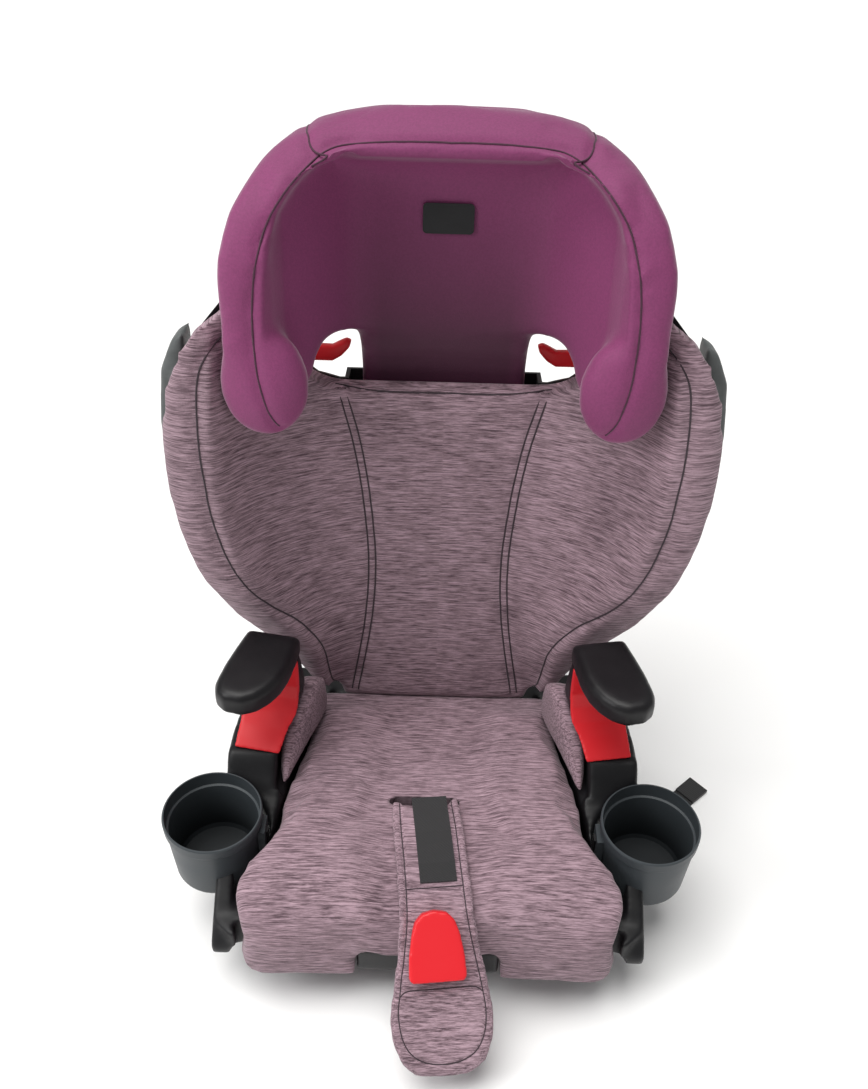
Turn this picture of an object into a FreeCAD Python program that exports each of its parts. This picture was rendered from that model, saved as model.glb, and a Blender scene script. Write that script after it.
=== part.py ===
"""High-back booster seat for a child, as an assembly of separate pieces.

Row frame: millimetres, +Z up, the child faces -Y, origin on the floor under the middle of the base.
The backrest and the headrest are drawn upright in a back frame (x across, y rearwards, z up the back)
and are then leaned back about the crease between the cushion and the back.
"""
import FreeCAD
import Part
import math
import os

V = FreeCAD.Vector
X_AXIS, Y_AXIS, Z_AXIS = V(1, 0, 0), V(0, 1, 0), V(0, 0, 1)

# ---------------------------------------------------------------- driving dimensions
CREASE = V(0, 95, 118)          # where the cushion meets the back
RECLINE = 10.0                  # lean of the back, degrees from upright
GAP = 0.4                       # clearance between pieces that lie together
SKIN = 3.0                      # fabric cover with its lining
SHELL = 4.0                     # moulded wall

DECK_Z = 85.0                   # top of the base, under the cushion
BASE_FRONT, BASE_TOE = -168.0, -128.0      # front at the deck, and at the floor
TRAY = 3.0                      # closing plate under the base

CUP_X, CUP_Y, CUP_RIM_Z = 211.0, -95.0, 150.0
CUP_RIM_R, CUP_HEIGHT, CUP_FOOT_R, CUP_WALL = 48.0, 76.0, 42.0, 2.5
RECESS_R = 52.0                 # hollow in the base flank that the cup stands in

ARM_X, ARM_TOE = 168.0, 10.0    # armrest centre and how far it toes out, degrees
ARM_HALF = 28.0
PAD_Z, PAD_THICK = 241.0, 25.0
PAD_FRONT, PAD_REAR = -58.0, 38.0

BACK_TOP = 366.0                # top edge of the middle of the back, up the back
CHANNEL_SIDE, CHANNEL_REAR = 92.0, 52.5
PIVOT = V(0, 150, 100)
ROD_R, ROD_RUN, ROD_HALF = 6.0, 0.1, 98.0
EARS, EAR_HALF = (-86, -40, 40, 86), 5.0     # rod supports on the base

HEAD_TOP, HEAD_TIP, ARCH_TOP = 624.0, 350.0, 415.0
NECK_HALF, SLEEVE_END = 82.0, 228.0
ROOF_IN = 590.0                 # top of the hood's mouth
HEAD_LEDGE = 500.0              # below this the headrest stays in front of the wings
STEM_HALF, STEM_FRONT, STEM_REAR = 60.0, 34.5, 42.0
BOLT_S, BOLT_R = 205.0, 3.0
PULL_Y, ROD_PULL, SPRING_TOP = 32.2, 1.2, 584.0
NOTCH_PITCH = 15.0

LATCH_X, LATCH_Z, LATCH_PIN_R = 128.0, 40.0, 2.0
WEB = 25.0                      # width of the lower anchor webbing
STRAP = (-13.0, 21.0)           # both edges of the crotch webbing, across the flap
BAR_Y, BAR_Z = -60.0, 60.0      # steel bar that the crotch webbing is looped round

# station up the back, inner seam, rim seam, outer edge, depth of the rim in front of the back
BACK_STATIONS = [
    (-10, 88, 112, 150, 7),
    (60, 80, 118, 170, 22),
    (120, 72, 139, 210, 48),
    (185, 70, 188, 235, 80),
    (245, 74, 209, 248, 94),
    (305, 84, 214, 253, 101),
    (365, 98, 216, 254, 100),
    (425, 106, 216, 254, 94),
    (475, 110, 216, 254, 84),
]


# ---------------------------------------------------------------- small makers
def box(x0, x1, y0, y1, z0, z1):
    return Part.makeBox(x1 - x0, y1 - y0, z1 - z0, V(x0, y0, z0))


def rod(radius, start, end):
    span = end - start
    return Part.makeCylinder(radius, span.Length, start, span)


def polygon(points):
    return Part.makePolygon(list(points) + [points[0]])


def closed_spline(points):
    curve = Part.BSplineCurve()
    curve.interpolate(list(points), PeriodicFlag=True)
    return Part.Wire(curve.toShape())


def spline_edge(points):
    curve = Part.BSplineCurve()
    curve.interpolate(list(points))
    return curve.toShape()


def prism(wire, direction):
    return Part.Face(wire).extrude(direction)


def plan(points, z0, z1):
    """Solid over a plan outline of (x, y) corners."""
    return prism(polygon([V(x, y, z0) for x, y in points]), V(0, 0, z1 - z0))


def side(points, x0, x1):
    """Solid over a side outline of (y, z) corners."""
    return prism(polygon([V(x0, y, z) for y, z in points]), V(x1 - x0, 0, 0))


def front(points, y0, y1):
    """Solid over a front outline of (x, z) corners."""
    return prism(polygon([V(x, y0, z) for x, z in points]), V(0, y1 - y0, 0))


def both_sides(half):
    """Whole outline from its right half, which runs from one end of the middle line to the other."""
    return list(half) + [(-x, y) for x, y in reversed(half) if x > 0]


def mirrored(shape):
    return shape.mirror(V(0, 0, 0), X_AXIS)


def grown(points, distance):
    """A closed outline moved outwards, or inwards where distance is negative."""
    face = Part.Face(polygon([V(x, y, 0) for x, y in points]))
    ring = face.makeOffset2D(distance, 2).OuterWire
    return [(v.X, v.Y) for v in ring.OrderedVertexes]


def softened(shape, radius, choose):
    """Rounds the chosen edges, or returns the shape as it is where the round can't be made."""
    edges = [e for e in shape.Edges if choose(e)]
    try:
        made = shape.makeFillet(radius, edges)
        return made if made.isValid() and made.Volume > 0 else shape
    except Part.OCCError:
        return shape


def level(edge, z, tolerance=0.05):
    return all(abs(v.Z - z) < tolerance for v in edge.Vertexes)


def same(edge, axis):
    """Whether both ends of an edge have one coordinate, X, Y or Z, in common."""
    ends = [getattr(v, axis) for v in edge.Vertexes]
    return abs(ends[0] - ends[-1]) < 0.01


def leaned(shape):
    """From the back frame to the row frame."""
    shape = shape.copy()
    turn = FreeCAD.Placement(CREASE, FreeCAD.Rotation(X_AXIS, -RECLINE))
    shape.transformShape(turn.toMatrix())
    return shape


def along(points, distance):
    """An open line of (a, b) points moved to its right-hand side."""
    moved = []
    for i, (a, b) in enumerate(points):
        a0, b0 = points[max(i - 1, 0)]
        a1, b1 = points[min(i + 1, len(points) - 1)]
        run = math.hypot(a1 - a0, b1 - b0)
        moved.append((a + (b1 - b0) / run * distance, b - (a1 - a0) / run * distance))
    return moved


# ---------------------------------------------------------------- base
CUSHION_PLAN = both_sides([
    (0, -207), (120, -208), (154, -205), (175, -195), (184, -175), (179, -152), (166.5, -128),
    (156, -95), (150, -60), (144, -20), (139, 5), (133, 40), (124, 95), (0, 95),
])
CUSHION_SIDE = [
    (95, 88), (95, 112), (89, 117), (50, 117.5), (0, 121), (-60, 131), (-110, 136.5), (-145, 136.5), (-168, 132),
    (-186, 122), (-198, 107), (-205, 90), (-207, 70), (-204, 50), (-199, 37), (-172, 37), (-172, 88),
]
FRONT_ARCH = [(-70, 30), (-70, 62), (-60, 78), (-44, 85), (44, 85), (60, 78), (70, 62), (70, 30)]
FLAP_X, FLAP_SKEW = -7.0, 6.5               # the crotch flap lies a little to one side, mm and degrees
STRAP_SLOT = (FLAP_X - 36.5, FLAP_X + 36.5, -65, -55)        # x0, x1, y0, y1
BASE_PLAN = both_sides([
    (0, BASE_FRONT), (128, BASE_FRONT), (160, -182), (184, -188), (200, -174), (207, -150), (207, -40), (206, 0),
    (203, 40), (196, 100), (180, 150), (160, 165), (0, 165),
])
FLANK_SIDE = [
    (-188, 30), (-186, 46), (-174, 62), (-158, 75), (-140, 88), (-115, 101), (-80, 114), (-55, 127), (-42, 140),
    (-32, 152), (-26, 157), (62, 148), (78, 122), (110, 96), (150, 80), (163, 60), (163, 30),
]
BASE_DRAFT = both_sides([(0, 0), (194, 0), (201, 50), (207, 90), (207, 300), (0, 300)])
TOE_CUT = [(BASE_TOE, -1), (-140, 12), (-164, 38), (-182, 60), (-190, 68), (-300, 68), (-300, -1)]
TRAY_PLAN = both_sides([
    (0, BASE_TOE + 1), (80, BASE_TOE + 1), (110, -115), (140, -85), (193, -50), (193, 200), (0, 200),
])
SCREWS = [(-120, -105), (120, -105), (-125, 20), (125, 20), (-60, 135), (60, 135)]
EAR_SIDE = [(136, 84), (138, 106), (144, 113), (156, 113), (162, 106), (164, 84)]


FIN_LEAN = [(101, 120), (156, 120), (156, 152), (147, 170), (133, 189), (101, 189)]


def cup_recess(z0):
    return Part.makeCylinder(RECESS_R, 300, V(CUP_X, CUP_Y, z0))


def fin_room(wall):
    """Space for the padded fin between the cushion and the armrest, with a wall kept round it."""
    return front(grown(FIN_LEAN, 1 + wall), -51 - wall, 80 + wall)


def base_shell():
    """Hollow moulding: a deck, two raised flanks with the cups' recesses, ears for the rod and cradles."""
    spine = Part.makeCylinder(RECESS_R + SHELL, 400, V(CUP_X, CUP_Y, -2))
    height = DECK_Z - TRAY - GAP
    block = plan(BASE_PLAN, TRAY + GAP, DECK_Z)
    block = softened(block, 12, lambda e: abs(e.Length - height) < 0.1 and e.Vertexes[0].Y < BASE_FRONT + 8)
    flank = side(FLANK_SIDE, 118, 207).common(plan(BASE_PLAN, 0, 300))
    flank = flank.cut(plan(grown(CUSHION_PLAN, 1.5), 84, 300))
    flank = flank.cut(fin_room(0))
    block = block.fuse(flank).fuse(mirrored(flank))
    block = block.common(front(BASE_DRAFT, -400, 400)).cut(side(TOE_CUT, -300, 300)).cut(cushion_block(-1))
    block = block.cut(cup_recess(-1)).cut(mirrored(cup_recess(-1)))

    hollow = plan(grown(BASE_PLAN, -SHELL), -1, DECK_Z - SHELL).cut(box(-300, 300, -300, BASE_FRONT, 38, 90))
    block = block.cut(hollow.cut(spine).cut(mirrored(spine)))
    room = side(grown(FLANK_SIDE, -SHELL), 90, 230).common(plan(grown(BASE_PLAN, -SHELL), 0, 300))
    room = room.cut(plan(grown(CUSHION_PLAN, 1.5 + SHELL), 0, 300)).cut(fin_room(SHELL)).cut(spine)
    block = block.cut(room).cut(mirrored(room))

    for x in (-50, 50):
        cradle = box(x - 5, x + 5, BAR_Y - 10, BAR_Y + 10, BAR_Z - 8, DECK_Z - 1)
        block = block.fuse(cradle.cut(rod(4 + ROD_RUN, V(x - 6, BAR_Y, BAR_Z), V(x + 6, BAR_Y, BAR_Z))))
    x0, x1, y0, y1 = STRAP_SLOT
    block = block.cut(box(x0, x1, y0, y1, 70, 90))
    for x in (-LATCH_X, LATCH_X):
        block = block.cut(box(x - 15, x + 15, 150, 175, LATCH_Z - 4, LATCH_Z + 4))
    block = block.cut(box(190, 212, -41, -3, 12, 18.6))
    for x in EARS:
        ear = side(EAR_SIDE, x - EAR_HALF, x + EAR_HALF)
        block = block.fuse(ear.cut(rod(ROD_R, V(x - 6, PIVOT.y, PIVOT.z), V(x + 6, PIVOT.y, PIVOT.z))))
    for x, y in SCREWS:
        block = block.fuse(Part.makeCylinder(6, DECK_Z - SHELL - 9, V(x, y, 9.5)))
        block = block.cut(Part.makeCylinder(2.1, 20, V(x, y, 5)))
    return max(block.removeSplitter().Solids, key=lambda s: s.Volume)


def base_tray():
    sheet = plan(grown(BASE_PLAN, -1.0), 0, TRAY).common(plan(TRAY_PLAN, -1, 10))
    foot = Part.makeCylinder(RECESS_R + 1, 10, V(CUP_X, CUP_Y, -1))
    sheet = sheet.cut(foot).cut(mirrored(foot))
    for x, y in SCREWS:
        sheet = sheet.cut(Part.makeCylinder(2.3, 10, V(x, y, -1)))
        sheet = sheet.cut(Part.makeCylinder(5.2, 2.0, V(x, y, -0.1)))
        post = Part.makeCylinder(6, 9 - TRAY, V(x, y, TRAY))
        sheet = sheet.fuse(post.cut(Part.makeCylinder(2.3, 20, V(x, y, 0))))
    return sheet


def base_screws():
    made = []
    for x, y in SCREWS:
        head = Part.makeCylinder(4.6, 1.4, V(x, y, 0.3))
        made.append(head.fuse(Part.makeCylinder(1.95, 20, V(x, y, 1.0))))
    return Part.makeCompound(made)


def anchor_bar():
    """Steel bar under the deck that the crotch strap loops round, held in two cradles."""
    return rod(4, V(-52, BAR_Y, BAR_Z), V(52, BAR_Y, BAR_Z))


def crotch_strap():
    """Webbing loop from the anchor bar up through the deck to the roll that the flap turns on."""
    x0, x1 = STRAP
    loop = rod(6.4, V(x0, BAR_Y, BAR_Z), V(x1, BAR_Y, BAR_Z)).cut(rod(4.6, V(-30, BAR_Y, BAR_Z), V(30, BAR_Y, BAR_Z)))
    riser = side([(-61, 66), (-59, 66), (-59, 130), (-63, 137.5), (-65, 136.5), (-61, 130)], x0, x1)
    roll = skewed(rod(FLAP_ROLL, V(x0 + 1, FLAP_ROOT.y, FLAP_ROOT.z), V(x1 - 1, FLAP_ROOT.y, FLAP_ROOT.z)))
    strap = loop.fuse(riser)
    strap.translate(V(FLAP_X, 0, 0))
    return strap.fuse(roll)


def cushion_block(inset):
    outline = CUSHION_PLAN if not inset else grown(CUSHION_PLAN, -inset)
    ring = grown([(y, z) for y, z in CUSHION_SIDE], -inset) if inset else CUSHION_SIDE
    return side(ring, -200, 200).common(plan(outline, 20, 200))


def front_arch():
    return front(FRONT_ARCH, -230, -150)


def seat_cover():
    cover = cushion_block(0).cut(cushion_block(SKIN))
    cover = cover.cut(plan(grown(CUSHION_PLAN, -SKIN), 80, 93).common(box(-200, 200, -168, 100, 70, 99)))
    cover = cover.cut(front_arch())
    x0, x1, y0, y1 = STRAP_SLOT
    cover = cover.cut(box(x0, x1, y0, y1, 80, 160))
    cover = cover.cut(box(-200, 200, -196, -160, 25, 41))
    return max(cover.Solids, key=lambda s: s.Volume)


def seat_foam():
    foam = cushion_block(SKIN + GAP)
    foam = foam.cut(front_arch())
    x0, x1, y0, y1 = STRAP_SLOT
    foam = foam.cut(box(x0 - 1, x1 + 1, y0 - 1, y1 + 1, 80, 160))
    foam = foam.cut(box(-200, 200, -209, -160, 25, 42))
    return max(foam.Solids, key=lambda s: s.Volume)


def hip_bolster():
    """Padded fin along the cushion's edge, which leans out to the armrest."""
    crescent = [(-50, 122), (-46, 127), (-34, 136), (-12, 154), (12, 172), (34, 185), (52, 185), (64, 176),
                (71, 158), (73, 138), (70, 122)]
    strip = [(112, 74), (119, 45), (131, 10), (140, -20), (147, -48), (151, -48), (155, -28), (156, 10), (152, 40),
             (146, 60), (138, 74)]
    fin = side(crescent, 110, 160).common(plan(strip, 100, 200)).common(front(FIN_LEAN, -100, 100))
    return fin.cut(cushion_block(-0.6)).cut(plan(grown(CUSHION_PLAN, 0.6), 60, 119))


# ---------------------------------------------------------------- armrests, cups and anchors
def toed(shape):
    """From the armrest's own frame, x across it, to the right-hand side of the row frame."""
    shape = shape.copy()
    turn = FreeCAD.Placement(V(ARM_X, 0, 0), FreeCAD.Rotation(Z_AXIS, ARM_TOE))
    shape.transformShape(turn.toMatrix())
    return shape


PAD_PLAN = [
    (-28, PAD_REAR), (-29, 20), (-29, -6), (-26, -24), (-20, -38), (-11, -50), (2, PAD_FRONT), (20, PAD_FRONT + 1),
    (30, PAD_FRONT + 8), (34, PAD_FRONT + 20), (33, -12), (30, 12), (26, PAD_REAR),
]
GUIDE_LINE = [(-27, 159), (-18, 165), (-6, 172), (6, 181), (16, 193), (21, 207), (22, 222), (22, PAD_Z - GAP)]


def armrest_pad():
    pad = plan(PAD_PLAN, PAD_Z, PAD_Z + PAD_THICK)
    pad = softened(pad, 9, lambda e: level(e, PAD_Z + PAD_THICK))
    pad = softened(pad, 4, lambda e: level(e, PAD_Z))
    return toed(pad)


def armrest_pillar():
    behind = along(GUIDE_LINE, 5 + GAP)
    outline = behind + [(38, PAD_Z - GAP), (48, 200), (58, 150), (58, 134), (-30, 134)]
    post = side(outline, -ARM_HALF + 1, ARM_HALF - 1)
    post = softened(post, 4, lambda e: same(e, "X") and e.Vertexes[0].Y > 34)
    post = toed(post)
    flank = side([(y, z + GAP) for y, z in FLANK_SIDE], 100, 230)
    post = post.cut(flank).cut(fin_room(-0.5))
    return max(post.Solids, key=lambda s: s.Volume)


def lap_belt_guide():
    """Red saddle under the armrest pad that the lap belt lies in."""
    liner = side(GUIDE_LINE + list(reversed(along(GUIDE_LINE, 5))), -ARM_HALF, ARM_HALF)
    liner = toed(liner)
    flank = side([(y, z + GAP) for y, z in FLANK_SIDE], 100, 230)
    liner = liner.cut(flank).cut(fin_room(-0.5))
    return max(liner.Solids, key=lambda s: s.Volume)


def cup_profile(inner):
    top = CUP_RIM_Z
    foot = top - CUP_HEIGHT
    if inner:
        return [(0, foot + 2.5), (CUP_FOOT_R - 5, foot + 2.5), (CUP_FOOT_R - CUP_WALL, foot + 6),
                (43.2, top - 16), (45.2, top - 15), (46, top + 1), (0, top + 1)]
    return [(0, foot), (CUP_FOOT_R - 4, foot), (CUP_FOOT_R - 1, foot + 1.2), (CUP_FOOT_R, foot + 4),
            (45.8, top - 14), (CUP_RIM_R - 0.4, top - 11), (CUP_RIM_R, top - 1.5), (CUP_RIM_R - 0.8, top),
            (0, top)]


def cup_holder():
    def turned(inner):
        wire = polygon([V(r, 0, z) for r, z in cup_profile(inner)])
        return Part.Face(wire).revolve(V(0, 0, 0), Z_AXIS, 360)
    cup = turned(False).cut(turned(True))
    cup.translate(V(CUP_X, CUP_Y, 0))
    claw = box(CUP_X - 50.4, CUP_X - 43.4, CUP_Y - 11, CUP_Y + 11, CUP_RIM_Z - 66, CUP_RIM_Z - 18)
    slot = box(CUP_X - 49.0, CUP_X - 46.6, CUP_Y - 8.4, CUP_Y + 8.4, 0, CUP_RIM_Z - 24)
    throat = box(CUP_X - 52, CUP_X - 46.6, CUP_Y - 4.4, CUP_Y + 4.4, 0, CUP_RIM_Z - 24)
    bore = Part.makeCylinder(43, 200, V(CUP_X, CUP_Y, CUP_RIM_Z - CUP_HEIGHT + 6))
    return cup.fuse(claw.cut(slot).cut(throat).cut(bore)).removeSplitter()


def cup_bracket():
    """T-rail on the base that the cup's claw slides down over."""
    low, high = CUP_RIM_Z - 64, CUP_RIM_Z - 25
    web = box(CUP_X - 52.5, CUP_X - 47.0, CUP_Y - 4, CUP_Y + 4, low, high)
    head = box(CUP_X - 48.6, CUP_X - 47.0, CUP_Y - 8, CUP_Y + 8, low, high)
    root = box(CUP_X - 52.5, CUP_X - 47.0, CUP_Y - 4, CUP_Y + 4, low - 6, low)
    foot = Part.makeCylinder(RECESS_R, 8, V(CUP_X, CUP_Y, CUP_RIM_Z - 76))
    foot = foot.cut(Part.makeCylinder(RECESS_R - 3, 8, V(CUP_X, CUP_Y, CUP_RIM_Z - 76)))
    foot = foot.common(box(CUP_X - 60, CUP_X - 40, CUP_Y - 14, CUP_Y + 14, 0, 200))
    stand = web.fuse(root).common(Part.makeCylinder(RECESS_R, 200, V(CUP_X, CUP_Y, 0)))
    return stand.fuse(head).fuse(foot).removeSplitter()


def latch_housing():
    """Lower anchor connector, with a mouth at its rear end for the vehicle's anchor bar."""
    z = LATCH_Z
    body = [(172, z - 9), (176, z - 12), (236, z - 12), (240, z - 9), (240, z - 4.2), (220, z - 4.2), (217, z),
            (220, z + 4.2), (240, z + 4.2), (240, z + 9), (236, z + 13), (190, z + 13), (172, z + 8)]
    case = side(body, LATCH_X - 15, LATCH_X + 15)
    case = softened(case, 2.5, lambda e: same(e, "X") and e.Vertexes[0].Z > z + 5)
    case = case.cut(box(LATCH_X - 6, LATCH_X + 6, 190, 238, z + 4.0, z + 20))
    case = case.cut(rod(LATCH_PIN_R, V(LATCH_X - 9, 214, z + 8.3), V(LATCH_X + 9, 214, z + 8.3)))
    return case.cut(box(LATCH_X - 13, LATCH_X + 13, 171, 184, z - 1.6, z + 1.6))


def latch_button():
    z = LATCH_Z
    cap = box(LATCH_X - 5.5, LATCH_X + 5.5, 191, 203, z + 8.5, z + 17)
    return softened(cap, 2, lambda e: level(e, z + 17))


def latch_jaw():
    """Steel jaw whose tip closes the mouth behind the anchor bar."""
    z = LATCH_Z
    hook = side([(212, z + 5), (226, z + 5), (226, z - 3.6), (229, z - 3.6), (232, z + 4), (236, z + 8),
                 (234, z + 11.5), (212, z + 11.5), (209, z + 8)], LATCH_X - 4, LATCH_X + 4)
    return hook.cut(rod(2.1, V(LATCH_X - 6, 214, z + 8.3), V(LATCH_X + 6, 214, z + 8.3)))


def latch_pin():
    return rod(LATCH_PIN_R, V(LATCH_X - 9, 214, LATCH_Z + 8.3), V(LATCH_X + 9, 214, LATCH_Z + 8.3))


def latch_webbing():
    return box(LATCH_X - WEB / 2, LATCH_X + WEB / 2, 70, 183.5, LATCH_Z - 1, LATCH_Z + 1)


def pull_strap():
    """Tail of the tightening strap: out of the right flank and flat along the floor, with a sewn end."""
    start, end = V(197, -30, 0), V(309, 73, 0)
    course = end - start
    length = course.Length
    top = [(-6, 16.6), (4, 16.4), (16, 13.6), (32, 7.0), (48, 3.2), (60, 2.2), (length, 2.2)]
    low = [(a, b - 1.6) for a, b in top]
    band = prism(polygon([V(a, -WEB / 2, b) for a, b in low + list(reversed(top))]), V(0, WEB, 0))
    band = band.fuse(box(length - 26, length, -WEB / 2, WEB / 2, 0.6, 4.4))
    angle = math.degrees(math.atan2(course.y, course.x))
    band.transformShape(FreeCAD.Placement(start, FreeCAD.Rotation(Z_AXIS, angle)).toMatrix())
    return band.cut(Part.makeCylinder(RECESS_R + SHELL + GAP, 60, V(CUP_X, CUP_Y, 0)))


def pivot_rod():
    return rod(ROD_R, V(-ROD_HALF, PIVOT.y, PIVOT.z), V(ROD_HALF, PIVOT.y, PIVOT.z))


def rod_caps():
    def at(radius, start, end):
        return rod(radius, V(start, PIVOT.y, PIVOT.z), V(end, PIVOT.y, PIVOT.z))
    cap = at(8.5, ROD_HALF - 5, ROD_HALF + 2.5).cut(at(ROD_R + 0.02, ROD_HALF - 6, ROD_HALF + 0.1))
    return Part.makeCompound([cap, mirrored(cap)])


# ---------------------------------------------------------------- crotch flap
FLAP_ROOT, FLAP_ROLL = V(0, -66, 138), 2.2
FLAP_LINE = [
    (-66, 138), (-110, 142.2), (-145, 142.6), (-168, 139.6), (-188, 131.6), (-206, 118.2), (-227, 98.6),
    (-252, 73.5), (-292, 36),
]
FLAP_HALF = [
    (0, -66), (33, -66), (34.5, -100), (34, -150), (35, -190), (39, -215), (45, -238), (48, -255), (46, -270),
    (38, -283), (24, -291), (0, -294),
]
CLIP_AT, CLIP_SLOPE = V(-3, -184, 133.4), 39.5


def flap_band(low, high):
    """Solid that follows the flap's side line between two heights above it."""
    below = along(FLAP_LINE, low)
    above = along(FLAP_LINE, high)
    return side(below + list(reversed(above)), -60, 60)


def skewed(shape):
    """The flap and what is on it lie a little to one side."""
    shape = shape.copy()
    shape.rotate(FLAP_ROOT, Z_AXIS, FLAP_SKEW)
    shape.translate(V(FLAP_X, 0, 0))
    return shape


def flap_pad():
    return skewed(flap_band(-3, 3).common(plan(grown(both_sides(FLAP_HALF), -8.5), 0, 200)))


def flap_binding():
    rim = plan(both_sides(FLAP_HALF), 0, 200).cut(plan(grown(both_sides(FLAP_HALF), -8.1), -1, 201))
    rim = rim.cut(box(-22, 24, -76, -52, 0, 200))
    return skewed(flap_band(-3.8, 3.8).common(rim))


def flap_webbing():
    return skewed(flap_band(3.3, 4.9).common(box(*STRAP, -164, FLAP_ROOT.y, 0, 200)))


def on_clip(shape):
    """From the clip's frame, -y down the flap and z out of it, to the row frame."""
    shape = shape.copy()
    shape.transformShape(FreeCAD.Placement(CLIP_AT, FreeCAD.Rotation(X_AXIS, CLIP_SLOPE)).toMatrix())
    return skewed(shape)


def belt_clip():
    """Red hook on the flap. The lap belt slides in under its lower end."""
    half = [(0, 0), (11, -2), (18, -9), (22, -21), (25, -39), (26, -57), (23, -61), (0, -61)]
    cap = plan(both_sides(half), 3.6, 19)
    cap = softened(cap, 6, lambda e: level(e, 19))
    cap = cap.cut(box(-40, 40, -70, -20, 0, 11.5))
    return on_clip(cap).cut(skewed(flap_band(-6, 3 + GAP)))


def clip_plate():
    """Plate behind the flap that the clip is riveted to."""
    plate = box(-20, 20, -40, -11, -5.5, -3.9)
    return on_clip(softened(plate, 4, lambda e: abs(e.Length - 1.6) < 0.01))


def clip_rivets():
    made = []
    for x in (-9, 9):
        made.append(on_clip(Part.makeCylinder(3.4, 1.0, V(x, -17, -6.5))))
    return Part.makeCompound(made)


# ---------------------------------------------------------------- backrest, in the back frame
def wing_front(station):
    """Front of the padded back at one height, from the middle out to the edge of the wing."""
    _, inner, rim, outer, depth = station
    width = rim - inner
    return [(0, 3), (inner * 0.55, 2), (inner, 0), (inner + 0.5 * width, -0.28 * depth),
            (inner + 0.82 * width, -0.68 * depth), (rim, -depth), ((rim + outer) / 2, -(depth + 3)),
            (outer - 5, -(depth - 4)), (outer, -(depth - 18))]


def wing_rear(station, away):
    """Rear of the wing's padding at one height, from the channel's side out to the edge."""
    _, inner, rim, outer, depth = station
    width = rim - inner
    start = 27 - 0.4 * depth * max(0, CHANNEL_SIDE - inner) / width
    return [(CHANNEL_SIDE + away, start + away), (inner + 0.5 * width + 9, -0.28 * depth + 27 + away),
            (inner + 0.82 * width + 9, -0.68 * depth + 29 + away), (rim + 9, -depth + 36 + away),
            (outer - 1, -depth + 30 + away)]


def across(half):
    """An open line from the left edge to the right edge, from its right half."""
    return [(-x, y) for x, y in reversed(half)] + [(x, y) for x, y in half if x > 0]


def section(lines, z):
    """Closed wire of splines and straight lines at one height. Each line is a list of (x, y)."""
    edges = []
    for i, line in enumerate(lines):
        points = [V(x, y, z) for x, y in line]
        edges.append(spline_edge(points) if len(points) > 2 else Part.makeLine(*points))
        following = lines[(i + 1) % len(lines)][0]
        if math.hypot(line[-1][0] - following[0], line[-1][1] - following[1]) > 1e-6:
            edges.append(Part.makeLine(points[-1], V(following[0], following[1], z)))
    return Part.Wire(edges)


def back_loft(lines_at):
    """Solid up the back, from the lines round its section at each station."""
    return Part.makeLoft([section(lines_at(s), s[0]) for s in BACK_STATIONS], True, False)


BACK_OUTLINE = both_sides([
    (0, -7), (84, -7), (90, 1), (108, 1), (118, 6), (138, 24), (158, 56), (182, 89), (209, 124), (233, 183),
    (246, 243), (252, 298), (253, 346), (246, 393), (229, 430), (207, 454), (186, 462), (166, 448), (148, 412),
    (134, 386), (118, 372), (100, BACK_TOP), (0, BACK_TOP),
])


def back_trim(inset):
    outline = grown(BACK_OUTLINE, -inset) if inset else BACK_OUTLINE
    return front(outline, -160, 100)


def back_cover():
    def lines(station):
        line = across(wing_front(station))
        return [line, list(reversed(along(line, -SKIN)))]
    return back_loft(lines).common(back_trim(0))


def back_foam():
    def lines(station):
        near = along(across(wing_front(station)), -SKIN - GAP)
        wing = wing_rear(station, 0)
        return [near, list(reversed(wing)), [(-x, y) for x, y in wing]]
    return back_loft(lines).common(back_trim(5))


def back_shell():
    def lines(station):
        wing = wing_rear(station, GAP)
        outside = along(wing, -SHELL)
        outside[0] = (wing[0][0] + SHELL, outside[0][1])
        left, left_out = [(-x, y) for x, y in wing], [(-x, y) for x, y in outside]
        pan, pan_out = CHANNEL_REAR + 0.6, CHANNEL_REAR + 0.6 + SHELL
        near = [list(reversed(left)), [left[0], (left[0][0], pan)], [(left[0][0], pan), (wing[0][0], pan)],
                [(wing[0][0], pan), wing[0]], wing]
        far = [list(reversed(outside)), [outside[0], (outside[0][0], pan_out)],
               [(outside[0][0], pan_out), (left_out[0][0], pan_out)], [(left_out[0][0], pan_out), left_out[0]],
               left_out]
        return near + far
    wall = back_loft(lines).common(back_trim(7))
    wall = wall.cut(box(-95, 95, 28, 70, -5, 8))
    for x in (-70, 70):
        wall = wall.cut(box(x - 6, x + 6, 47, 60, -1, 34))
    return max(wall.Solids, key=lambda s: s.Volume)


def pivot_hooks():
    """Two C-hooks under the back that snap over the base's rod."""
    made = []
    centre = leaned_back(PIVOT)
    for x in (-70, 70):
        eye = rod(12, V(x - 6, centre.y, centre.z), V(x + 6, centre.y, centre.z))
        shank = [(centre.y - 7, centre.z + 6), (centre.y + 8, centre.z + 6), (57, 8), (57, 34), (49, 34), (45, 8)]
        arm = side(shank, x - 6, x + 6)
        hook = eye.fuse(arm)
        hook = hook.cut(rod(ROD_R + ROD_RUN, V(x - 7, centre.y, centre.z), V(x + 7, centre.y, centre.z)))
        mouth = box(x - 7, x + 7, centre.y - 5.2, centre.y + 5.2, centre.z - 20, centre.z)
        made.append(hook.cut(mouth).removeSplitter())
    return Part.makeCompound(made)


def leaned_back(point):
    """A point of the row frame, in the back frame."""
    turn = FreeCAD.Placement(CREASE, FreeCAD.Rotation(X_AXIS, -RECLINE))
    return turn.inverse().multVec(point)


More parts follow.
